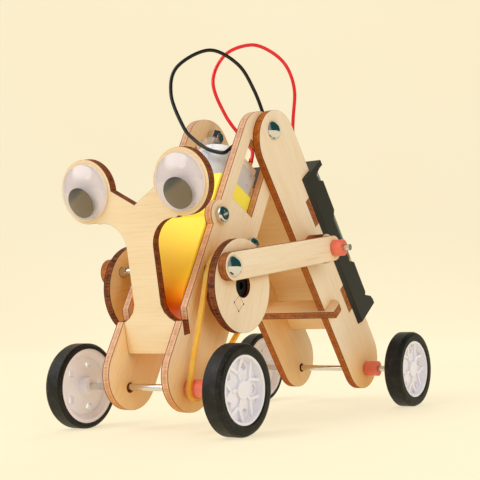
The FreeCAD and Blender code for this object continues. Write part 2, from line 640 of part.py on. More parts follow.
def rear_leg():
    """Left rear leg plate."""
    z0, z1 = REAR_IN, REAR_OUT
    plate = stadium(REAR_LOW, REAR_TOP, LEG_R, z0, z1)
    cuts = [block(PANEL_OUT, LEG_R + 1, TRAY_LOW - 0.05, TRAY_TOP + 0.05, z0, z1)]
    for high, low in PANEL_TABS:
        cuts.append(block(PANEL_IN - SLOT_SLACK, PANEL_OUT + 1, low - SLOT_SLACK, high + SLOT_SLACK, z0, z1))
    cuts.append(block(-LEG_R - 1, SHELF_BACK + SLOT_SLACK, SHELF_TOP - PLY - SLOT_SLACK,
                      SHELF_TOP + SLOT_SLACK, z0, z1))
    cuts.append(post(0, 0, SCREW_HOLE_R + 0.03, z0, z1))
    cuts.append(post(ROD_AXLE_ACROSS, -ROD_AXLE_DOWN, AXLE_R + 0.05, z0, z1))
    plate = placed(plate.cut(cuts), REAR)
    return plate.cut(cross_rod(REAR_AXLE, AXLE_HOLE_R, z0, z1))


def rear_panel():
    """Plate between the rear legs that the battery holder is stuck to."""
    half = REAR_IN - 0.05
    panel = block(PANEL_IN, PANEL_OUT, TRAY_LOW, TRAY_TOP, -half, half)
    tabs = [block(PANEL_IN, PANEL_OUT, low, high, -REAR_OUT, REAR_OUT) for high, low in PANEL_TABS]
    return placed(panel.fuse(tabs).removeSplitter(), REAR)


def cross_shelf():
    """Bar pushed into the front edges of both rear legs, with rounded rear corners."""
    bar = block(SHELF_FRONT, SHELF_BACK, SHELF_TOP - PLY, SHELF_TOP, -SHELF_HALF, SHELF_HALF)
    corners = [e for e in bar.Edges
               if abs(e.tangentAt(e.FirstParameter).y) > 0.9 and e.CenterOfMass.x > SHELF_BACK - 0.5]
    bar = bar.makeFillet(SHELF_CORNER_R, corners)
    return placed(bar, REAR)


SPACER_R = 4.7               # plywood washer between each rear leg and its rod
ROD_COLLAR_R, ROD_COLLAR_LONG = 2.6, 3.3
ROD_AXLE_END = ROD_OUT + GAP + ROD_COLLAR_LONG + 2.4


def rod_axle():
    return cross_rod(ROD_AXLE, AXLE_R, -ROD_AXLE_END, ROD_AXLE_END)


def rod_spacers():
    return both_sides(cross_tube(ROD_AXLE, SPACER_R, AXLE_R + TIGHT, REAR_OUT + TIGHT, ROD_IN - GAP))


def rod_collars():
    start = ROD_OUT + GAP
    return both_sides(cross_tube(ROD_AXLE, ROD_COLLAR_R, AXLE_R + TIGHT, start, start + ROD_COLLAR_LONG))


# ---------------------------------------------------------------- battery holder
TRAY_HALF = 15.6
TRAY_WALL = 1.4
TRAY_FLOOR = 1.5
TRAY_HIGH = 12.5
TRAY_FLOOR_HALF = 14.4
TRAY_END = 1.9               # thickness of the end walls
NOTCH_UP, END_NOTCH_HALF = 8.5, 3.2      # notch in the middle of each end wall
FLOOR_HOLE_R = 1.5
CELL_R = 7.05
CELL_LONG = 49.5
CELL_UP = PANEL_OUT + TRAY_FLOOR + CELL_R + 0.05


def tray_wall():
    """Left side wall of the holder: low, with two raised stretches."""
    low, high, tip = PANEL_OUT + 7.3, PANEL_OUT + 9.7, PANEL_OUT + TRAY_HIGH
    points = [(PANEL_OUT + 1.5, TRAY_TOP), (tip, TRAY_TOP - 0.2), (tip, TRAY_TOP - 1.4),
              (low, TRAY_TOP - 2.6), (low, -25.6), (high, -27.0), (high, -38.4), (low, -40.6),
              (low, -57.6), (high, -59.6), (high, -72.2), (high - 0.8, -73.0),
              (tip - 0.6, -75.6), (tip, TRAY_LOW + 1.4), (tip - 0.8, TRAY_LOW), (PANEL_OUT + 1.5, TRAY_LOW)]
    return slab(points, TRAY_HALF - TRAY_WALL, TRAY_HALF)


def battery_holder():
    """Moulded tray for two cells side by side; its lower long edges are chamfered."""
    edge = PANEL_OUT + 1.5
    floor = block(PANEL_OUT + TIGHT, PANEL_OUT + TRAY_FLOOR, TRAY_LOW, TRAY_TOP,
                  -TRAY_FLOOR_HALF, TRAY_FLOOR_HALF)
    bevels = []
    for side in (-1, 1):
        bevel = Part.makePolygon([FreeCAD.Vector(x, TRAY_LOW, side * z) for x, z in
                                  ((PANEL_OUT + 0.02, 14.3), (edge + 0.1, TRAY_HALF), (edge + 0.1, 14.0),
                                   (PANEL_OUT + 0.02, 14.0), (PANEL_OUT + 0.02, 14.3))])
        bevels.append(Part.Face(bevel).extrude(FreeCAD.Vector(0, TRAY_TOP - TRAY_LOW, 0)))
    wall = tray_wall()
    walls = [wall, wall.mirror(ORIGIN, FreeCAD.Vector(0, 0, 1))]
    ends = []
    for y0, y1 in ((TRAY_TOP - TRAY_END, TRAY_TOP), (TRAY_LOW, TRAY_LOW + TRAY_END)):
        end = block(edge, PANEL_OUT + TRAY_HIGH, y0, y1, -TRAY_HALF, TRAY_HALF)
        end = end.cut(block(PANEL_OUT + NOTCH_UP, PANEL_OUT + TRAY_HIGH + 1, y0, y1,
                            -END_NOTCH_HALF, END_NOTCH_HALF))
        ends.append(end)
    rib = block(edge - 0.1, PANEL_OUT + 3.0, TRAY_LOW + TRAY_END, TRAY_TOP - TRAY_END, -0.5, 0.5)
    holder = floor.fuse(bevels + walls + ends + [rib])
    holes = []
    for y in (-42.0, -58.0):
        hole = Part.makeCylinder(FLOOR_HOLE_R, 4, FreeCAD.Vector(PANEL_OUT - 1, y, 0), X_DIR)
        holes.append(hole)
    return placed(holder.cut(holes).removeSplitter(), REAR)


def up_cell(x, z, radius, y0, y1):
    """Cylinder along the rear leg."""
    return Part.makeCylinder(radius, y1 - y0, FreeCAD.Vector(x, y0, z), FreeCAD.Vector(0, 1, 0))


CELL_TOP = TRAY_TOP - 3.0
CELL_LOW = CELL_TOP - CELL_LONG


def battery_cells():
    """Two AA cells, head to tail."""
    cells = []
    for side in (-1, 1):
        z = side * (CELL_R + 0.1)
        low, high = (CELL_LOW, CELL_TOP - 1.0) if side > 0 else (CELL_LOW + 1.0, CELL_TOP)
        body = up_cell(CELL_UP, z, CELL_R, low, high)
        tip = (high, CELL_TOP) if side > 0 else (CELL_LOW, low)
        cells.append(body.fuse(up_cell(CELL_UP, z, 2.6, tip[0], tip[1])).removeSplitter())
    return placed(Part.makeCompound(cells), REAR)


def smooth_tube(points, radius, start=0.0, end=1.0):
    """Round tube along a smooth curve through the points, between two shares of its length."""
    curve = Part.BSplineCurve()
    curve.interpolate([FreeCAD.Vector(*p) for p in points])
    first = curve.FirstParameter + (curve.LastParameter - curve.FirstParameter) * start
    last = curve.FirstParameter + (curve.LastParameter - curve.FirstParameter) * end
    ring = Part.Wire([Part.makeCircle(radius, curve.value(first), curve.tangent(first)[0])])
    return Part.Wire([curve.toShape(first, last)]).makePipeShell([ring], True, False)


SPRING_WIRE_R = 0.32


def coil(x, z, y0, y1, turns=3):
    """Contact spring along local y that widens towards y1."""
    steps = 12 * turns
    points = []
    for k in range(steps + 1):
        share = k / steps
        radius = 1.8 + 1.6 * share
        angle = 2 * math.pi * turns * share
        points.append((x + radius * math.cos(angle), y0 + (y1 - y0) * share, z + radius * math.sin(angle)))
    return smooth_tube(points, SPRING_WIRE_R)


def cell_springs():
    """Wire springs against the flat ends of the cells."""
    z = CELL_R + 0.1
    low = coil(CELL_UP, z, CELL_LOW - 0.4, TRAY_LOW + TRAY_END + 0.4)
    high = coil(CELL_UP, -z, CELL_TOP + 0.4, TRAY_TOP - TRAY_END - 0.4)
    return placed(Part.makeCompound([low, high]), REAR)


# ---------------------------------------------------------------- axles, collars and wheels
def front_axle_shaft():
    reach = FRONT_WHEEL_IN + WHEEL_WIDE - 1.6
    return cross_rod(FRONT_AXLE, AXLE_R, -reach, reach)


def rear_axle_shaft():
    reach = REAR_WHEEL_IN + WHEEL_WIDE - 1.6
    return cross_rod(REAR_AXLE, AXLE_R, -reach, reach)


COLLAR_GAP, COLLAR_LONG = 0.4, 4.3
SLEEVE_END = 20.4


def belt_sleeve():
    """Red tube on the front axle that the belt turns."""
    return cross_tube(FRONT_AXLE, SLEEVE_R, AXLE_R + TIGHT, PLATE_OUT + COLLAR_GAP, SLEEVE_END)


def front_collar():
    start = PLATE_OUT + COLLAR_GAP
    return other_side(cross_tube(FRONT_AXLE, COLLAR_R, AXLE_R + TIGHT, start, start + COLLAR_LONG))


def rear_collars():
    start = REAR_OUT + COLLAR_GAP
    return both_sides(cross_tube(REAR_AXLE, COLLAR_R, AXLE_R + TIGHT, start, start + COLLAR_LONG))


SPOKES = 5
KITE = ((5.1, 0), (6.5, 13), (7.8, 0), (6.5, -13))    # window's corners: radius, degrees from its middle
FORK_R = 4.6                 # where each spoke's ridge forks
RIDGE_HALF = 0.45
FRONT_HUB_TURN, REAR_HUB_TURN = 0.0, 15.0             # how far the wheels have rolled


def at_angle(centre, radius, degrees):
    return centre + in_side_plane(degrees) * radius


def hub(centre, inner_x, side, turn):
    """Dished hub: five small kite-shaped windows between raised Y-shaped spokes, blind axle socket."""
    w = WHEEL_WIDE
    x = inner_x
    rim = turned([(x + 0.2, 9.9), (x + 0.2, 11.2), (x + 3.9, 11.2), (x + 4.0, 9.35), (x + w - 0.35, 9.35),
                  (x + w - 0.35, 8.7), (x + 3.4, 8.2), (x + 1.5, 8.6)], centre)
    web = turned([(x + 2.0, 0), (x + 2.0, 8.6), (x + 3.2, 8.4), (x + 4.0, 2.9), (x + 4.0, 0)], centre)
    pieces = [rim, cross_rod(centre, 2.5, x - 1.2, x + 4.9)]
    cuts = [cross_rod(centre, AXLE_R + TIGHT, x - 2, x + w - 1.55)]
    for k in range(SPOKES):
        middle = turn + 360.0 / SPOKES * k
        spoke = middle + 180.0 / SPOKES
        fork = at_angle(centre, FORK_R, spoke)
        pieces.append(straight_bar(at_angle(centre, 1.5, spoke), fork, RIDGE_HALF, x + 3.0, x + 4.6))
        for branch in (-21, 21):
            rim = at_angle(centre, 8.5, spoke + branch)
            pieces.append(straight_bar(fork, rim, RIDGE_HALF, x + 2.6, x + 4.3))
        corners = [at_angle(centre, radius, middle + angle) for radius, angle in KITE]
        outline = Part.makePolygon([FreeCAD.Vector(x, p.y, p.z) for p in corners + corners[:1]])
        cuts.append(Part.Face(outline).extrude(X_DIR * w))
    wheel = web.fuse(pieces).cut(cuts).removeSplitter()
    return wheel if side > 0 else other_side(wheel)


def tyre(centre, inner_x, side):
    """Soft tyre: thick wall on the outer side, thin on the inner side."""
    x, w, r = inner_x, WHEEL_WIDE, WHEEL_R
    profile = [(x, 10.9), (x, r - 0.6), (x + 0.6, r), (x + w - 1.1, r), (x + w - 0.3, r - 0.4),
               (x + w, r - 1.2), (x + w, 9.8), (x + w - 0.3, 9.4), (x + 4.05, 9.4), (x + 3.95, 11.25),
               (x + 0.15, 11.25), (x + 0.15, 10.9)]
    ring = turned(profile, centre)
    return ring if side > 0 else other_side(ring)


# ---------------------------------------------------------------- wires
WIRE_R = 0.62
BLACK_PATH = ((7.1, 34.9, 82.7), (7.6, 32.6, 84.2), (8.4, 28.2, 83.2), (8.0, 24.8, 81.1), (5.2, 23.7, 81.6),
              (2.2, 23.2, 82.9), (-2.3, 23.6, 85.9), (-6.2, 23.3, 90.2), (-11.3, 23.8, 101.1),
              (-10.5, 26.0, 110.2), (-4.1, 34.4, 116.1), (2.2, 41.0, 111.8), (4.6, 46.3, 104.0),
              (5.6, 50.8, 95.0), (6.2, 55.6, 84.6), (5.0, 60.3, 77.4))
RED_PATH = ((7.1, 40.2, 79.8), (6.6, 41.6, 83.6), (3.6, 42.0, 86.9), (-2.8, 40.6, 96.0), (-7.1, 40.2, 107.3),
            (-4.5, 43.6, 116.3), (1.0, 50.0, 119.9), (5.4, 55.0, 118.1), (9.1, 58.8, 113.3),
            (10.8, 60.8, 105.4), (9.8, 61.0, 95.0), (9.0, 60.3, 77.6))
WIRE_SPLIT = 0.62            # share of each wire that stays with the front legs


# ---------------------------------------------------------------- every sub-part
def all_parts():
    parts = {
        "front_leg_left": front_leg(),
        "front_leg_right": other_side(front_leg()),
        "face_plate": face_plate(),
        "gearbox_half_left": gearbox_half(1),
        "gearbox_half_right": gearbox_half(-1),
        "gear_pin": gear_pin(),
        "motor_can": motor_can(),
        "motor_end_cap": motor_end_cap(),
        "motor_terminals": motor_terminals(),
        "motor_strap": motor_strap(),
        "motor_screws": motor_screws(),
        "motor_nuts": motor_nuts(),
        "hinge_pins": hinge_pins(),
        "hinge_nuts": hinge_nuts(),
        "drive_belt": drive_belt(),
        "eye_backs": Part.makeCompound([eye_back(1), eye_back(-1)]),
        "eye_domes": Part.makeCompound([eye_dome(1), eye_dome(-1)]),
        "motor_rotor": motor_rotor(),
        "crown_gear": crown_gear(),
        "second_gear": compound_gear(0, 0, SPINDLE_R + 0.06, True),
        "third_gear": compound_gear(1, IDLER_UP, AXLE_R + 0.06, False),
        "output_shaft": output_shaft(),
        "drive_pulley": drive_pulley(),
        "crank_screws": crank_screws(),
        "crank_pins": crank_pins(),
        "front_axle_shaft": front_axle_shaft(),
        "belt_sleeve": belt_sleeve(),
        "front_collar": front_collar(),
        "rear_leg_left": rear_leg(),
        "rear_leg_right": other_side(rear_leg()),
        "rear_panel": rear_panel(),
        "cross_shelf": cross_shelf(),
        "rod_axle": rod_axle(),
        "rod_spacers": rod_spacers(),
        "rod_collars": rod_collars(),
        "battery_holder": battery_holder(),
        "battery_cells": battery_cells(),
        "cell_springs": cell_springs(),
        "rear_axle_shaft": rear_axle_shaft(),
        "rear_collars": rear_collars(),
        "wire_black_front": smooth_tube(BLACK_PATH, WIRE_R, 0.0, WIRE_SPLIT),
        "wire_black_rear": smooth_tube(BLACK_PATH, WIRE_R, WIRE_SPLIT + 0.02, 1.0),
        "wire_red_front": smooth_tube(RED_PATH, WIRE_R, 0.0, WIRE_SPLIT),
        "wire_red_rear": smooth_tube(RED_PATH, WIRE_R, WIRE_SPLIT + 0.02, 1.0),
    }
    for name, side in (("left", 1), ("right", -1)):
        parts["pupil_" + name] = pupil(side)
        parts["crank_disk_" + name] = crank_disk(side)
        parts["drive_rod_" + name] = drive_rod(side)
        parts["front_hub_" + name] = hub(FRONT_AXLE, FRONT_WHEEL_IN, side, FRONT_HUB_TURN)
        parts["front_tyre_" + name] = tyre(FRONT_AXLE, FRONT_WHEEL_IN, side)
        parts["rear_hub_" + name] = hub(REAR_AXLE, REAR_WHEEL_IN, side, REAR_HUB_TURN)
        parts["rear_tyre_" + name] = tyre(REAR_AXLE, REAR_WHEEL_IN, side)
    return parts


os.makedirs("parts", exist_ok=True)
for node, shape in all_parts().items():
    shape.exportStep("parts/" + node + ".step")
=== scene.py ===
"""Looks for the plywood crawling robot: materials, wires, floor, light and camera.

Lengths are in metres in the part's own frame: origin on the floor under the front axle,
the face looks along -Y, +X is the robot's left side, +Z is up.
"""

import json
import math

import bmesh
import bpy
from mathutils import Matrix, Vector


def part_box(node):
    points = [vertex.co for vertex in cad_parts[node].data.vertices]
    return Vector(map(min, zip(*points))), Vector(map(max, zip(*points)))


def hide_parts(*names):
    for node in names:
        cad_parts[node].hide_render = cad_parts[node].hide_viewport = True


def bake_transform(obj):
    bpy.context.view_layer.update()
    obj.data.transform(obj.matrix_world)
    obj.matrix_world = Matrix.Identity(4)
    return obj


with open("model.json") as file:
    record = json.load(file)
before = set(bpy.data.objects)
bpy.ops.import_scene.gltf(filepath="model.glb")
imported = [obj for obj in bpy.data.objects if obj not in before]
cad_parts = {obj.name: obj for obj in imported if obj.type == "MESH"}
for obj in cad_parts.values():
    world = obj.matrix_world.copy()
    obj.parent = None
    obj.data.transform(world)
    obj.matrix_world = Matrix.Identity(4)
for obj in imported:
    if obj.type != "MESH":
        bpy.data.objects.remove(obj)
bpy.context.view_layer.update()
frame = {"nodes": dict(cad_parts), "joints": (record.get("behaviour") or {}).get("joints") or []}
NODES = frame["nodes"]
MM = 0.001


def joint(name):
    """One joint of the record, by name."""
    return next(j for j in frame["joints"] if j["name"] == name)


def middle(node):
    low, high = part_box(node)
    return (low + high) / 2


# ---------------------------------------------------------------- colours and node graphs
def srgb(red, green, blue):
    """Colour in 0..255 display values, as the linear colour that Blender wants."""
    linear = []
    for value in (red, green, blue):
        share = value / 255.0
        linear.append(share / 12.92 if share <= 0.04045 else ((share + 0.055) / 1.055) ** 2.4)
    return (*linear, 1.0)


class Graph:
    """A node tree with short ways to add the nodes that the materials here use."""

    def __init__(self, name):
        self.material = bpy.data.materials.new(name)
        self.material.use_nodes = True
        self.tree = self.material.node_tree
        self.tree.nodes.clear()
        self.output = self.tree.nodes.new("ShaderNodeOutputMaterial")
        self.place = self.tree.nodes.new("ShaderNodeTexCoord").outputs["Object"]

    def add(self, kind, inputs=(), **settings):
        node = self.tree.nodes.new("ShaderNode" + kind)
        for key, value in settings.items():
            setattr(node, key, value)
        for key, value in dict(inputs).items():
            if isinstance(value, bpy.types.NodeSocket):
                self.tree.links.new(value, node.inputs[key])
            else:
                node.inputs[key].default_value = value
        return node

    def math(self, operation, a, b=0.0, clamp=False):
        return self.add("Math", {0: a, 1: b}, operation=operation, use_clamp=clamp).outputs[0]

    def inverse(self, share):
        """One minus a share."""
        return self.math("SUBTRACT", 1.0, share)

    def dot(self, a, b):
        return self.add("VectorMath", {0: a, 1: b}, operation="DOT_PRODUCT").outputs["Value"]

    def scaled(self, vector, factors):
        return self.add("VectorMath", {0: vector, 1: factors}, operation="MULTIPLY").outputs[0]

    def noise(self, vector, detail=3.0):
        """Noise with one bump for each unit of the vector, so the vector sets its scale."""
        return self.add("TexNoise", {"Vector": vector, "Scale": 1.0, "Detail": detail}).outputs["Fac"]

    def speckle(self, per_metre, detail=3.0):
        """Noise that is equally fine in every direction."""
        return self.noise(self.scaled(self.place, (per_metre,) * 3), detail)

    def ramp(self, value, stops):
        node = self.add("ValToRGB", {0: value})
        elements = node.color_ramp.elements
        while len(elements) < len(stops):
            elements.new(0.5)
        for element, (position, colour) in zip(elements, stops):
            element.position = position
            element.color = colour
        return node.outputs["Color"]

    def span(self, value, low, high, least, most):
        """Goes straight from least to most while the value goes from low to high."""
        inputs = {0: value, 1: low, 2: high, 3: least, 4: most}
        return self.add("MapRange", inputs, clamp=True).outputs[0]

    def levels(self, value, low, high):
        """0 below low, 1 above high, straight between."""
        return self.span(value, low, high, 0.0, 1.0)

    def mix(self, share, a, b, blend="MIX"):
        node = self.add("MixRGB", {0: share, 1: a, 2: b}, blend_type=blend)
        return node.outputs[0]

    def bump(self, height, distance, strength=1.0):
        node = self.add("Bump", {"Height": height, "Distance": distance, "Strength": strength})
        return node.outputs["Normal"]

    def principled(self, **inputs):
        names = {key.replace("_", " "): value for key, value in inputs.items()}
        shader = self.add("BsdfPrincipled", names)
        self.tree.links.new(shader.outputs[0], self.output.inputs["Surface"])

    def shader_mix(self, share, first, second):
        """Surface of two shaders, the second one with the given share."""
        blend = self.add("MixShader", {0: share, 1: first.outputs[0], 2: second.outputs[0]})
        self.tree.links.new(blend.outputs[0], self.output.inputs["Surface"])


def dress(material, *names):
    """Gives CAD nodes one material."""
    for name in names:
        slots = NODES[name].data.materials
        slots.clear()
        slots.append(material)


# ---------------------------------------------------------------- plywood
# Veneer colours: the paler and the warmer band of each.
PALE_VENEER = (srgb(242, 225, 200), srgb(236, 212, 180))
WARM_VENEER = (srgb(241, 221, 187), srgb(236, 212, 174))
BOUNCE_TINT = srgb(255, 214, 118)        # wood lit mostly by the wood around it
FACE_LINE = srgb(206, 168, 124)
SCORCH = srgb(74, 38, 22)

# How the laser browned each kind of cut edge, plus painted light and shade: colour next to the faces,
# colour between them, streaks.
# Lit edges get the paler kinds and shaded edges the darker ones, so part of each kind's darkness is
# painted shade.
LIT_EDGE_SCORCH = (srgb(116, 58, 34), srgb(236, 190, 156), 0.24)
MEDIUM_BURN = (srgb(94, 44, 16), srgb(190, 118, 66), 0.45)
WARM_BURN = (srgb(116, 54, 14), srgb(188, 112, 44), 0.40)
SHADED_EDGE_SCORCH = (srgb(62, 24, 8), srgb(152, 80, 38), 0.50)
DEEP_SHADED_EDGE_SCORCH = (srgb(56, 24, 12), srgb(152, 84, 46), 0.60)

# Streaks of the cut edges, for each metre along the edge and through the plate.
STREAKS_ALONG = 3600
STREAKS_THROUGH = 400
EDGE_SOFT = 0.30 * MM        # how far the scorch creeps from the edges over the faces
SHELTER_REACH = 30 * MM      # wood closer than this to other wood gets its warm light
SHELTER_SHARE = 0.85
EDGE_ROUGH = 0.8
FACE_ROUGH = 0.55


def reach_along(node, axis):
    """Lowest and highest place of a CAD node's corners along an axis."""
    places = [vertex.co.dot(axis) for vertex in NODES[node].data.vertices]
    return min(places), max(places)


def face_wood(g, along, sideways, depth, seed, veneer):
    """Pale veneer: broad soft bands, fine fibres and a few short pores."""
    def grain_noise(long_scale, cross_scale, detail):
        vector = g.add("CombineXYZ", {0: g.math("MULTIPLY", along, long_scale),
                                      1: g.math("MULTIPLY", sideways, cross_scale),
                                      2: g.math("MULTIPLY", depth, cross_scale)}).outputs[0]
        moved = g.add("VectorMath", {0: vector, 1: (seed, seed * 2, seed * 3)}, operation="ADD").outputs[0]
        return g.noise(moved, detail)

    fibres = grain_noise(80, 1500, 4.0)
    bands = grain_noise(18, 140, 2.0)
    pores = grain_noise(420, 3800, 1.0)
    face = g.mix(g.levels(bands, 0.3, 0.7), *veneer)
    face = g.mix(g.math("MULTIPLY", g.levels(fibres, 0.48, 0.85), 0.34), face, FACE_LINE)
    face = g.mix(g.math("MULTIPLY", g.levels(pores, 0.66, 0.76), 0.2), face, FACE_LINE)
    return face, fibres


def edge_wood(g, depth, low, high, axis, scorch_and_shade):
    """Laser-cut edge: darker next to both faces, fine streaks across the plies, specks of soot."""
    border, centre, streaked = scorch_and_shade
    off_middle = g.math("ABSOLUTE", g.math("SUBTRACT", g.levels(depth, low, high), 0.5))
    inward = g.math("SUBTRACT", 0.5, off_middle)
    fineness = [STREAKS_ALONG - (STREAKS_ALONG - STREAKS_THROUGH) * abs(part) for part in axis]
    streaks = g.noise(g.scaled(g.place, fineness), 2.0)
    cloud = g.speckle(420)
    middle_ply = g.math("MULTIPLY", g.levels(inward, 0.30, 0.36), 0.16)
    dark = g.math("MULTIPLY", g.levels(streaks, 0.40, 0.62), streaked)
    dark = g.math("ADD", dark, g.math("MULTIPLY", g.levels(cloud, 0.42, 0.62), streaked * 0.6))
    dark = g.math("ADD", dark, middle_ply, clamp=True)
    near_face = g.inverse(g.levels(inward, 0.05, 0.17))
    return g.mix(g.math("MAXIMUM", dark, near_face), centre, border), streaks


def plywood(node, axis, grain, scorch_and_shade, veneer=PALE_VENEER, mark=None):
    """Laser-cut plywood: pale grained faces, scorched layered edges whose tone also carries painted light
    and shade. axis is the plate's normal.
    """
    axis = Vector(axis).normalized()
    grain = Vector(grain).normalized()
    low, high = reach_along(node, axis)
    g = Graph("plywood_" + node)
    depth = g.dot(g.place, axis)
    seed = (sum(ord(letter) for letter in node) % 17) * 0.37
    face, fibres = face_wood(g, g.dot(g.place, grain), g.dot(g.place, axis.cross(grain)), depth, seed,
                             veneer)
    edge, streaks = edge_wood(g, depth, low, high, axis, scorch_and_shade)

    surface = g.add("NewGeometry").outputs["Normal"]
    turn = dict(vector_type="NORMAL", convert_from="WORLD", convert_to="OBJECT")
    normal = g.add("VectorTransform", {0: surface}, **turn).outputs[0]
    is_face = g.levels(g.math("ABSOLUTE", g.dot(normal, axis)), 0.55, 0.8)
    soft = g.add("Bevel", {"Radius": EDGE_SOFT}, samples=6).outputs[0]
    near_edge = g.inverse(g.levels(g.dot(soft, surface), 0.80, 0.995))
    face = g.mix(g.math("MULTIPLY", near_edge, 0.55), face, scorch_and_shade[0])
    colour = g.mix(is_face, edge, face)
    open_air = g.add("AmbientOcclusion", {"Distance": SHELTER_REACH}, samples=6).outputs["AO"]
    sheltered = g.inverse(g.levels(open_air, 0.15, 0.85))
    colour = g.mix(g.math("MULTIPLY", sheltered, SHELTER_SHARE), colour, BOUNCE_TINT, blend="MULTIPLY")
    if mark is not None:
        colour = g.mix(mark(g), colour, SCORCH)
    height = g.math("ADD", g.math("MULTIPLY", fibres, 0.6), g.math("MULTIPLY", streaks, 0.4))
    g.principled(Base_Color=colour, Roughness=g.span(is_face, 0.0, 1.0, EDGE_ROUGH, FACE_ROUGH),
                 Specular_IOR_Level=0.3, Normal=g.bump(height, 0.04 * MM, 0.5))
    dress(g.material, node)


MARK_PLACE = Vector((0, -2.2, -5.0)) * MM       # middle of the mark, from the crank shaft
MARK_HALF = 1.6 * MM
MARK_TURN = math.radians(38)
MARK_LINE = (0.04 * MM, 0.12 * MM)              # half the line's width: where its fade starts and ends
MARK_DOT = (0.22 * MM, 0.38 * MM)               # the same for the radius of the dots
MARK_STRENGTH = 0.7


def square_mark(centre, half, turn):
    """Scorched outline of a small square with a dot at each corner, on a plate that faces X."""
    def build(g):
        c, s = math.cos(turn), math.sin(turn)
        moved = g.add("VectorMath", {0: g.place, 1: centre}, operation="SUBTRACT").outputs[0]
        u = g.math("ABSOLUTE", g.dot(moved, (0, c, s)))
        v = g.math("ABSOLUTE", g.dot(moved, (0, -s, c)))
        side = g.math("ABSOLUTE", g.math("SUBTRACT", g.math("MAXIMUM", u, v), half))
        line = g.math("MULTIPLY", g.inverse(g.levels(side, *MARK_LINE)), MARK_STRENGTH)
        corner = g.add("CombineXYZ", {0: g.math("SUBTRACT", u, half), 1: g.math("SUBTRACT", v, half)})
        reach = g.add("VectorMath", {0: corner.outputs[0]}, operation="LENGTH").outputs["Value"]
        dot = g.inverse(g.levels(reach, *MARK_DOT))
        return g.math("MAXIMUM", line, dot)
    return build


# Places and directions from the frame that the grain and the shading follow.
HINGE = Vector(joint("leg_fold")["pos_m"])
SHAFT = Vector(joint("crank_spin")["pos_m"])
FRONT_UP = (HINGE - SHAFT).normalized()
ROD_AXLE = middle("rod_axle")
CRANK_PIN = Vector((0, *joint("rod_left_pivot")["pos_m"][1:]))
FACE_OUT = Vector(joint("pupil_left_roll")["axis"])
REAR_DOWN = (Vector(joint("rear_wheels_spin")["pos_m"]) - HINGE).normalized()
X_AXIS = Vector((1, 0, 0))
PANEL_OUT = Vector((0, -REAR_DOWN.z, REAR_DOWN.y))


def dress_plywood():
    # Each piece's edge kind carries its laser scorch and its painted light and shade.
    for side in ("left", "right"):
        plywood("front_leg_" + side, X_AXIS, FRONT_UP, LIT_EDGE_SCORCH)
        plywood("rear_leg_" + side, X_AXIS, REAR_DOWN, WARM_BURN)
        plywood("drive_rod_" + side, X_AXIS, ROD_AXLE - CRANK_PIN, MEDIUM_BURN)
    square = square_mark(SHAFT + MARK_PLACE, MARK_HALF, MARK_TURN)
    plywood("crank_disk_left", X_AXIS, (0, 0.35, 1), DEEP_SHADED_EDGE_SCORCH, mark=square)
    plywood("crank_disk_right", X_AXIS, (0, 1, 0.2), DEEP_SHADED_EDGE_SCORCH)
    plywood("drive_pulley", X_AXIS, (0, 1, 0), SHADED_EDGE_SCORCH)
    plywood("rod_spacers", X_AXIS, (0, 0.5, 1), MEDIUM_BURN)
    plywood("face_plate", FACE_OUT, (1, 0, 0), SHADED_EDGE_SCORCH, WARM_VENEER)
    plywood("rear_panel", PANEL_OUT, X_AXIS, MEDIUM_BURN)
    plywood("cross_shelf", REAR_DOWN, X_AXIS, MEDIUM_BURN)


# ---------------------------------------------------------------- plastics, rubber and metal
def fine_bump(g, scale, depth):
    """Fine texture of a moulded surface, with its bumps for each metre and their depth."""
    return g.bump(g.speckle(scale, 2.0), depth)


def plastic(name, colour, roughness, shade=0.9, soft=0.0, scale=1400):
    """Moulded plastic: slight colour drift, fine surface, optional light inside."""
    g = Graph(name)
    drift = g.speckle(120, 2.0)
    darker = tuple(value * shade for value in colour[:3]) + (1.0,)
    tone = g.mix(g.levels(drift, 0.35, 0.65), colour, darker)
    g.principled(Base_Color=tone, Roughness=roughness, Subsurface_Weight=soft, Subsurface_Scale=1.2 * MM,
                 Subsurface_Radius=(1.0, 0.6, 0.4), Normal=fine_bump(g, scale, 0.01 * MM))
    return g.material


def gearbox_yellow():
    """Glossy lemon yellow with painted shade that deepens it to orange towards the lower end."""
    g = Graph("gearbox_yellow")
    low, high = reach_along("gearbox_half_left", FRONT_UP)
    share = g.levels(g.dot(g.place, FRONT_UP), low, high)
    # Painted shade: the ramp turns the yellow orange towards the lower end.
    colour = g.ramp(share, [(0.0, srgb(246, 110, 14)), (0.09, srgb(252, 160, 26)),
                            (0.20, srgb(254, 200, 40)), (0.40, srgb(255, 214, 50)),
                            (0.65, srgb(255, 232, 72)), (1.0, srgb(255, 238, 90))])
    g.principled(Base_Color=colour, Roughness=0.32, Specular_IOR_Level=0.35, Subsurface_Weight=0.1,
                 Subsurface_Scale=1.5 * MM, Subsurface_Radius=(1.0, 0.6, 0.1),
                 Normal=fine_bump(g, 900, 0.006 * MM))
    return g.material


def metal(name, colour, roughness, brush=(300, 300, 300)):
    """Bare metal with brush marks, which are finer along the axes with larger numbers."""
    g = Graph(name)
    marks = g.noise(g.scaled(g.place, brush))
    rough = g.span(marks, 0.3, 0.7, roughness * 0.7, roughness * 1.4)
    g.principled(Base_Color=colour, Metallic=1.0, Roughness=rough, Normal=g.bump(marks, 0.004 * MM))
    return g.material


def tyre_rubber():
    """Grey-black rubber with a dull sheen, dust and small pale specks."""
    g = Graph("tyre_rubber")
    dust = g.speckle(500, 5.0)
    specks = g.speckle(2600, 1.0)
    colour = g.mix(g.levels(dust, 0.45, 0.75), srgb(19, 18, 16), srgb(40, 36, 32))
    colour = g.mix(g.math("MULTIPLY", g.levels(specks, 0.72, 0.79), 0.6), colour, srgb(150, 144, 132))
    g.principled(Base_Color=colour, Roughness=0.5, Specular_IOR_Level=0.3,
                 Normal=fine_bump(g, 2500, 0.02 * MM))
    return g.material


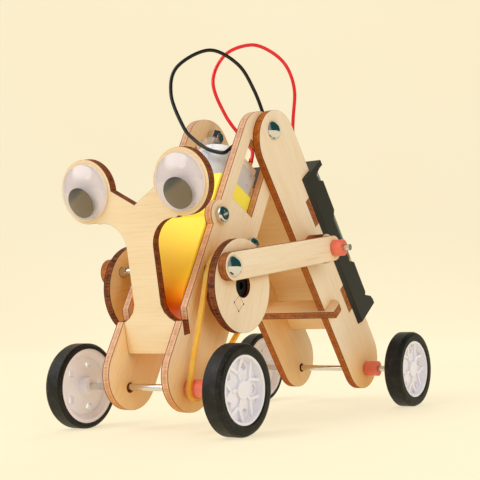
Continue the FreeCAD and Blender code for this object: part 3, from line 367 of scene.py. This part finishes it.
def soft_rubber(name, colour, deep, see_through):
    """Translucent rubber or vinyl: some light passes straight through, the rest spreads inside."""
    g = Graph(name)
    drift = g.speckle(260)
    tone = g.mix(g.levels(drift, 0.35, 0.7), colour, deep)
    body = g.add("BsdfPrincipled", {"Base Color": tone, "Roughness": 0.32, "Subsurface Weight": 0.5,
                                    "Subsurface Scale": 1.5 * MM, "Subsurface Radius": (1.0, 0.4, 0.25),
                                    "Normal": fine_bump(g, 1200, 0.01 * MM)})
    through = g.add("BsdfTransparent", {"Color": tone})
    g.shader_mix(see_through, body, through)
    return g.material


def clear_shell(name, tint, gloss_rough, strength):
    """Thin clear plastic: light passes straight through and the surface mirrors at a slant."""
    g = Graph(name)
    scratches = g.speckle(500, 4.0)
    rough = g.span(scratches, 0.35, 0.7, gloss_rough, gloss_rough * 2)
    through = g.add("BsdfTransparent", {"Color": tint})
    mirror = g.add("BsdfGlossy", {"Color": (1, 1, 1, 1), "Roughness": rough})
    slant = g.add("Fresnel", {"IOR": 1.5}).outputs[0]
    outside = g.inverse(g.add("NewGeometry").outputs["Backfacing"])
    share = g.math("MULTIPLY", g.math("MULTIPLY", slant, outside), strength, clamp=True)
    g.shader_mix(share, through, mirror)
    return g.material


PUPIL_SHADE_TO = Vector((-0.40, 0.0, 0.92))       # side of the pupils that gets painted shade
PUPIL_SHADE = (1.4 * MM, 2.5 * MM)                # where the dark side starts and where it is full


def pupil_disk(node):
    """Dark disk seen under its dome: painted shade in teal-black along one side, dusty olive over the
    rest.
    """
    g = Graph("dark_" + node)
    moved = g.add("VectorMath", {0: g.place, 1: middle(node)}, operation="SUBTRACT").outputs[0]
    across = g.dot(moved, PUPIL_SHADE_TO)
    dust = g.speckle(700)
    olive = g.mix(g.levels(dust, 0.35, 0.7), srgb(106, 88, 54), srgb(94, 78, 48))
    colour = g.mix(g.levels(across, *PUPIL_SHADE), olive, srgb(20, 25, 25))
    g.principled(Base_Color=colour, Roughness=0.45, Normal=fine_bump(g, 1400, 0.01 * MM))
    return g.material


def cell_wrap():
    """Plain two-tone battery wrap with bare metal ends, along the rear leg."""
    g = Graph("cell_wrap")
    low, high = reach_along("battery_cells", REAR_DOWN)
    share = g.levels(g.dot(g.place, REAR_DOWN), low, high)
    steel = srgb(190, 190, 192)
    colour = g.ramp(share, [(0.0, steel), (0.045, srgb(36, 66, 58)), (0.70, srgb(36, 66, 58)),
                            (0.71, srgb(200, 170, 96)), (0.955, srgb(200, 170, 96)), (0.96, steel)])
    g.principled(Base_Color=colour, Metallic=0.35, Roughness=0.3, Normal=fine_bump(g, 600, 0.01 * MM))
    return g.material


def dress_other_nodes():
    dress(gearbox_yellow(), "gearbox_half_left", "gearbox_half_right")
    white = plastic("white_plastic", srgb(250, 250, 252), 0.35)
    dress(white, "output_shaft", "crown_gear", "second_gear", "third_gear", "motor_end_cap")
    dress(clear_shell("clear_strap", (0.95, 0.96, 0.98, 1), 0.10, 1.0), "motor_strap")
    chrome = metal("bright_plate", srgb(214, 214, 214), 0.07)
    dress(chrome, "motor_screws", "motor_nuts", "hinge_pins", "hinge_nuts", "crank_pins", "cell_springs")
    steel = metal("drawn_steel", srgb(222, 219, 214), 0.2, (40, 900, 900))
    dress(steel, "front_axle_shaft", "rear_axle_shaft", "rod_axle", "gear_pin")
    dress(metal("rotor_steel", srgb(186, 184, 186), 0.25, (900, 60, 60)), "motor_rotor")
    dress(plastic("can_silver", srgb(214, 213, 218), 0.28, shade=0.92, scale=900), "motor_can")
    dress(metal("terminal_brass", srgb(212, 170, 96), 0.25), "motor_terminals")
    dress(metal("black_screw", srgb(38, 36, 36), 0.3), "crank_screws")
    dress(soft_rubber("coral_tube", srgb(255, 150, 126), srgb(255, 128, 106), 0.25),
          "belt_sleeve", "front_collar", "rear_collars", "rod_collars")
    dress(soft_rubber("amber_band", srgb(255, 222, 112), srgb(250, 204, 84), 0.5), "drive_belt")
    dress(plastic("holder_black", srgb(27, 25, 19), 0.5, shade=0.8), "battery_holder")
    dress(cell_wrap(), "battery_cells")
    dress(plastic("eye_white", srgb(233, 226, 228), 0.45, shade=0.97), "eye_backs")
    dress(clear_shell("eye_clear", (0.985, 0.975, 0.985, 1), 0.05, 1.6), "eye_domes")
    for pupil in ("pupil_left", "pupil_right"):
        dress(pupil_disk(pupil), pupil)
    hubs = plastic("hub_white", srgb(238, 236, 246), 0.3, shade=0.97, soft=0.1)
    tyres = tyre_rubber()
    for end in ("front", "rear"):
        for side in ("left", "right"):
            dress(hubs, end + "_hub_" + side)
            dress(tyres, end + "_tyre_" + side)


# ---------------------------------------------------------------- wires
WIRE_R = 0.57 * MM
WIRE_STEPS = 10              # straight pieces between two points of a wire
WIRE_SIDES = 16


def smooth_path(points):
    """Catmull-Rom curve through the points, in metres."""
    pts = [Vector(p) * MM for p in points]
    pts = [pts[0] * 2 - pts[1]] + pts + [pts[-1] * 2 - pts[-2]]
    path = []
    for a, b, c, d in zip(pts, pts[1:], pts[2:], pts[3:]):
        for k in range(WIRE_STEPS):
            t = k / WIRE_STEPS
            path.append(0.5 * (2 * b + (c - a) * t + (2 * a - 5 * b + 4 * c - d) * t * t
                               + (3 * b - a - 3 * c + d) * t ** 3))
    path.append(pts[-2])
    return path


def tube(name, path, radius, material):
    """Closed round tube swept along a path."""
    mesh = bmesh.new()
    rings = []
    side_dir = None
    for k, point in enumerate(path):
        heading = (path[min(k + 1, len(path) - 1)] - path[max(k - 1, 0)]).normalized()
        if side_dir is None:
            side_dir = heading.orthogonal().normalized()
        side_dir = (side_dir - heading * side_dir.dot(heading)).normalized()
        up = heading.cross(side_dir)
        ring = []
        for i in range(WIRE_SIDES):
            angle = 2 * math.pi * i / WIRE_SIDES
            spoke = side_dir * math.cos(angle) + up * math.sin(angle)
            ring.append(mesh.verts.new(point + spoke * radius))
        rings.append(ring)
    for a, b in zip(rings, rings[1:]):
        for i in range(WIRE_SIDES):
            j = (i + 1) % WIRE_SIDES
            mesh.faces.new((a[i], a[j], b[j], b[i]))
    mesh.faces.new(list(reversed(rings[0])))
    mesh.faces.new(rings[-1])
    data = bpy.data.meshes.new(name)
    mesh.to_mesh(data)
    mesh.free()
    for face in data.polygons:
        face.use_smooth = len(face.vertices) == 4
    data.materials.append(material)
    piece = bpy.data.objects.new(name, data)
    bpy.context.scene.collection.objects.link(piece)
    return piece


# Points each wire passes through, in millimetres, from its terminal on the motor to its cell.
BLACK_WIRE = ((7.1, 34.9, 82.7), (7.6, 32.6, 84.2), (8.4, 28.2, 83.2), (8.0, 24.8, 81.1),
              (5.2, 23.7, 81.6), (2.2, 23.2, 82.9), (-2.3, 23.6, 85.9), (-6.2, 23.3, 90.2),
              (-11.3, 23.8, 101.1), (-10.5, 26.0, 110.2), (-4.1, 34.4, 116.1), (2.2, 41.0, 111.8),
              (4.6, 46.3, 104.0), (5.6, 50.8, 95.0), (6.2, 55.6, 84.6), (5.0, 60.3, 77.4))
RED_WIRE = ((7.1, 40.2, 79.8), (6.6, 41.6, 83.6), (3.6, 42.0, 86.9), (-2.8, 40.6, 96.0),
            (-7.1, 40.2, 107.3), (-4.5, 43.6, 116.3), (1.0, 50.0, 119.9), (5.4, 55.0, 118.1),
            (9.1, 58.8, 113.3), (10.8, 60.8, 105.4), (9.8, 61.0, 95.0), (9.0, 60.3, 77.6))


def make_wires():
    black = plastic("wire_black", srgb(15, 12, 13), 0.4)
    red = plastic("wire_red", srgb(232, 34, 44), 0.28, shade=0.92, soft=0.1)
    for colour, points, material in (("black", BLACK_WIRE, black), ("red", RED_WIRE, red)):
        wire = tube("wire_" + colour, smooth_path(points), WIRE_R, material)
        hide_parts("wire_" + colour + "_front", "wire_" + colour + "_rear")
        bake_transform(wire)


# ---------------------------------------------------------------- stage, light and camera
CREAM = srgb(254, 243, 212)
CREAM_DRIFT = srgb(253, 241, 208)
STAGE_MATT = 0.34            # share of the stage's brightness that comes from the lamps
STAGE_GLOW = 1.05            # strength of the light that the stage gives by itself
# Sizes of the stage, in metres.
FLOOR_FRONT = -1.2
FLOOR_BACK = 0.75
CURVE_R = 0.5
WALL_TOP = 2.2
STAGE_HALF = 2.0
CURVE_STEPS = 12


def make_stage():
    """Pale floor that curves up into a backdrop; part of its light is its own, so it stays even."""
    g = Graph("stage_cream")
    drift = g.speckle(3, 2.0)
    colour = g.mix(g.levels(drift, 0.3, 0.7), CREAM, CREAM_DRIFT)
    glow = g.add("Emission", {"Color": colour, "Strength": STAGE_GLOW})
    matt = g.add("BsdfDiffuse", {"Color": colour})
    g.shader_mix(STAGE_MATT, glow, matt)
    mesh = bmesh.new()
    profile = [(FLOOR_FRONT, 0.0), (FLOOR_BACK, 0.0)]
    for k in range(1, CURVE_STEPS + 1):
        angle = math.radians(90 * k / CURVE_STEPS)
        profile.append((FLOOR_BACK + CURVE_R * math.sin(angle), CURVE_R - CURVE_R * math.cos(angle)))
    profile.append((FLOOR_BACK + CURVE_R, WALL_TOP))
    heading = Vector((-math.sin(CAMERA_YAW), math.cos(CAMERA_YAW), 0))
    sideways = Vector((math.cos(CAMERA_YAW), math.sin(CAMERA_YAW), 0))
    rows = []
    for reach, height in profile:
        base = heading * reach + Vector((0, 0, height))
        rows.append([mesh.verts.new(base + sideways * side) for side in (-STAGE_HALF, STAGE_HALF)])
    for a, b in zip(rows, rows[1:]):
        mesh.faces.new((a[0], a[1], b[1], b[0]))
    data = bpy.data.meshes.new("backdrop")
    mesh.to_mesh(data)
    mesh.free()
    for face in data.polygons:
        face.use_smooth = True
    data.materials.append(g.material)
    floor = bpy.data.objects.new("backdrop", data)
    bpy.context.scene.collection.objects.link(floor)


def area_light(name, place, target, size, power, colour):
    light = bpy.data.lights.new(name, "AREA")
    light.shape = "DISK"
    light.size = size
    light.energy = power
    light.color = colour
    lamp = bpy.data.objects.new(name, light)
    lamp.visible_glossy = False
    lamp.location = place
    lamp.rotation_mode = "QUATERNION"
    lamp.rotation_quaternion = (Vector(place) - Vector(target)).to_track_quat("Z", "Y")
    bpy.context.scene.collection.objects.link(lamp)


# What shiny surfaces see: the room, and each wall with its direction, fade (two cosines) and colour.
ROOM_COLOUR = (0.36, 0.36, 0.35, 1)
WALLS = (((0.80, 0.40, 0.25), (0.10, 0.35), (0.02, 0.08, 0.07, 1)),          # dark side
         ((-0.42, -0.58, 0.70), (0.84, 0.93), (2.8, 2.8, 2.8, 1)),           # white panel
         ((-0.17, -0.90, 0.38), (0.986, 0.995), (2.6, 2.6, 2.6, 1)))         # small spot
SKY_COLOUR = (1.0, 0.95, 0.88, 1)
SKY_STRENGTH = 0.60


def studio_world():
    """Even warm light for matt surfaces; shiny ones see a dim room, a dark side and a white panel."""
    world = bpy.data.worlds.new("studio")
    bpy.context.scene.world = world
    world.use_nodes = True
    tree = world.node_tree
    heading = tree.nodes.new("ShaderNodeTexCoord").outputs["Generated"]

    def toward(direction, low, high):
        """0 away from a direction and 1 close to it, from one cosine to the other."""
        dot = tree.nodes.new("ShaderNodeVectorMath")
        dot.operation = "DOT_PRODUCT"
        dot.inputs[1].default_value = Vector(direction).normalized()
        tree.links.new(heading, dot.inputs[0])
        steps = tree.nodes.new("ShaderNodeMapRange")
        steps.inputs[1].default_value = low
        steps.inputs[2].default_value = high
        tree.links.new(dot.outputs["Value"], steps.inputs[0])
        return steps.outputs[0]

    room = tree.nodes.new("ShaderNodeRGB")
    room.outputs[0].default_value = ROOM_COLOUR
    seen = room.outputs[0]
    for direction, fade, colour in WALLS:
        wall = tree.nodes.new("ShaderNodeMixRGB")
        tree.links.new(toward(direction, *fade), wall.inputs[0])
        tree.links.new(seen, wall.inputs[1])
        wall.inputs[2].default_value = colour
        seen = wall.outputs[0]
    base = tree.nodes["Background"]
    base.inputs[0].default_value = SKY_COLOUR
    base.inputs[1].default_value = SKY_STRENGTH
    mirrored = tree.nodes.new("ShaderNodeBackground")
    tree.links.new(seen, mirrored.inputs[0])
    ray = tree.nodes.new("ShaderNodeLightPath")
    blend = tree.nodes.new("ShaderNodeMixShader")
    tree.links.new(ray.outputs["Is Glossy Ray"], blend.inputs[0])
    tree.links.new(base.outputs[0], blend.inputs[1])
    tree.links.new(mirrored.outputs[0], blend.inputs[2])
    tree.links.new(blend.outputs[0], tree.nodes["World Output"].inputs[0])


def make_lights():
    centre = (0, 0.045, 0.05)
    area_light("key", (-0.25, -0.60, 0.70), centre, 0.50, 3.7, (1.0, 0.98, 0.95))
    area_light("fill", (0.85, -0.25, 0.45), centre, 0.60, 2.2, (1.0, 0.98, 0.95))
    area_light("back", (-0.30, 0.70, 0.60), centre, 0.50, 1.8, (1.0, 0.96, 0.90))
    studio_world()


CAMERA_PLACE = Vector((195.05, -233.67, 33.46)) * MM
CAMERA_YAW = math.radians(35.174)
CAMERA_PITCH = math.radians(3.8)
CAMERA_ROLL = math.radians(-1.384)
CAMERA_LENS = 80.2


def make_camera():
    data = bpy.data.cameras.new("camera")
    data.sensor_width = 36.0
    data.lens = CAMERA_LENS
    data.clip_start = 0.01
    data.clip_end = 20.0
    camera = bpy.data.objects.new("camera", data)
    turn = Matrix.Rotation(CAMERA_YAW, 4, "Z") @ Matrix.Rotation(math.pi / 2 + CAMERA_PITCH, 4, "X")
    camera.matrix_world = Matrix.Translation(CAMERA_PLACE) @ turn @ Matrix.Rotation(CAMERA_ROLL, 4, "Z")
    bpy.context.scene.collection.objects.link(camera)
    bpy.context.scene.camera = camera


dress_plywood()
dress_other_nodes()
make_wires()
make_stage()
make_lights()
make_camera()
bpy.context.scene.view_settings.view_transform = "Standard"
